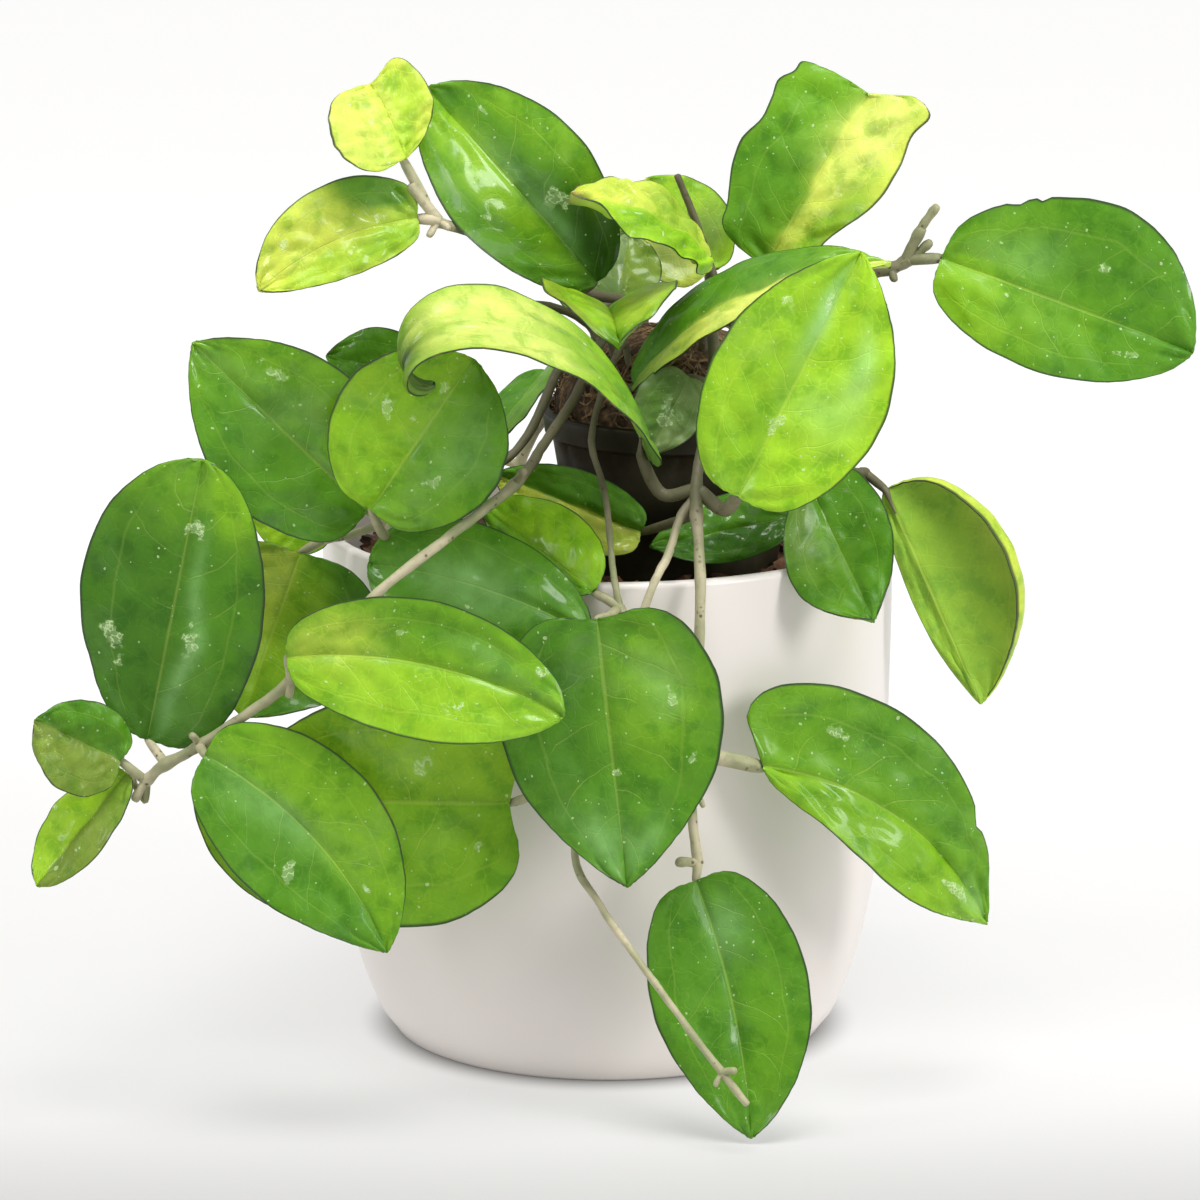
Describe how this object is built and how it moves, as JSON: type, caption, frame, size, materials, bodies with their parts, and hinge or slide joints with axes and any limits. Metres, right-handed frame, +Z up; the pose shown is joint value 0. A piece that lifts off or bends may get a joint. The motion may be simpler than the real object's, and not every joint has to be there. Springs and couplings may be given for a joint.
{
  "type": "potted hoya plant",
  "caption": "Trailing wax plant with thick pointed oval leaves on thin vines, growing from a nursery pot set in bark mulch inside a plain round white ceramic cachepot.",
  "frame": {"origin": "centre of the cachepot's flat foot, on the surface it stands on", "axes": "+Z up along the cachepot's axis; -Y is the plant's fullest side, with the vines that hang over the rim; +X to the right of that side"},
  "size_m": [0.3137, 0.2324, 0.2777],
  "materials": {
    "pot_glaze": "satin white glaze",
    "bark": "rough chipped bark",
    "nursery_plastic": "matt brown thin plastic",
    "coir": "rough fibrous root ball",
    "stem": "matt grey-green bark",
    "leaf_green": "waxy gloss, deep green",
    "leaf_lime": "waxy gloss, yellow-green"
  },
  "bodies": {
    "root": {"bark_mulch": "bark", "cachepot": "pot_glaze", "leaf_arch": "leaf_lime", "leaf_behind_grey": "leaf_green", "leaf_behind_left": "leaf_green", "leaf_behind_pale": "leaf_green", "leaf_big_left": "leaf_green", "leaf_bottom": "leaf_green", "leaf_bright": "leaf_lime", "leaf_dark_mid": "leaf_green", "leaf_drop_right": "leaf_green", "leaf_end_lower": "leaf_lime", "leaf_end_upper": "leaf_lime", "leaf_far_right": "leaf_green", "leaf_folded_front": "leaf_lime", "leaf_front_left": "leaf_lime", "leaf_heart": "leaf_green", "leaf_inner_left": "leaf_lime", "leaf_inner_mid": "leaf_green", "leaf_inner_right": "leaf_green", "leaf_leftmost": "leaf_green", "leaf_low_back": "leaf_lime", "leaf_low_left": "leaf_green", "leaf_low_mid": "leaf_green", "leaf_pale_left": "leaf_lime", "leaf_pale_mid": "leaf_lime", "leaf_rear_bottom": "leaf_green", "leaf_rear_crown": "leaf_green", "leaf_rear_high": "leaf_green", "leaf_rear_inner": "leaf_green", "leaf_rear_left": "leaf_green", "leaf_rear_low": "leaf_green", "leaf_rear_middle": "leaf_green", "leaf_rear_right": "leaf_green", "leaf_right": "leaf_green", "leaf_rim_right": "leaf_green", "leaf_round_left": "leaf_green", "leaf_small_left": "leaf_lime", "leaf_strap_right": "leaf_lime", "leaf_top_right": "leaf_green", "leaf_top_small": "leaf_lime", "leaf_upper_left": "leaf_green", "leaf_wrinkled": "leaf_lime", "leaf_yellow_behind": "leaf_lime", "nursery_pot": "nursery_plastic", "root_ball": "coir", "vine_bare": "stem", "vine_cut": "stem", "vine_front": "stem", "vine_inner_left": "stem", "vine_left": "stem", "vine_rear_left": "stem", "vine_rear_right": "stem", "vine_right": "stem", "vine_rim_right": "stem", "vine_thin": "stem", "vine_top_left": "stem", "vine_upper_left": "stem"}
  },
  "joints": []
}
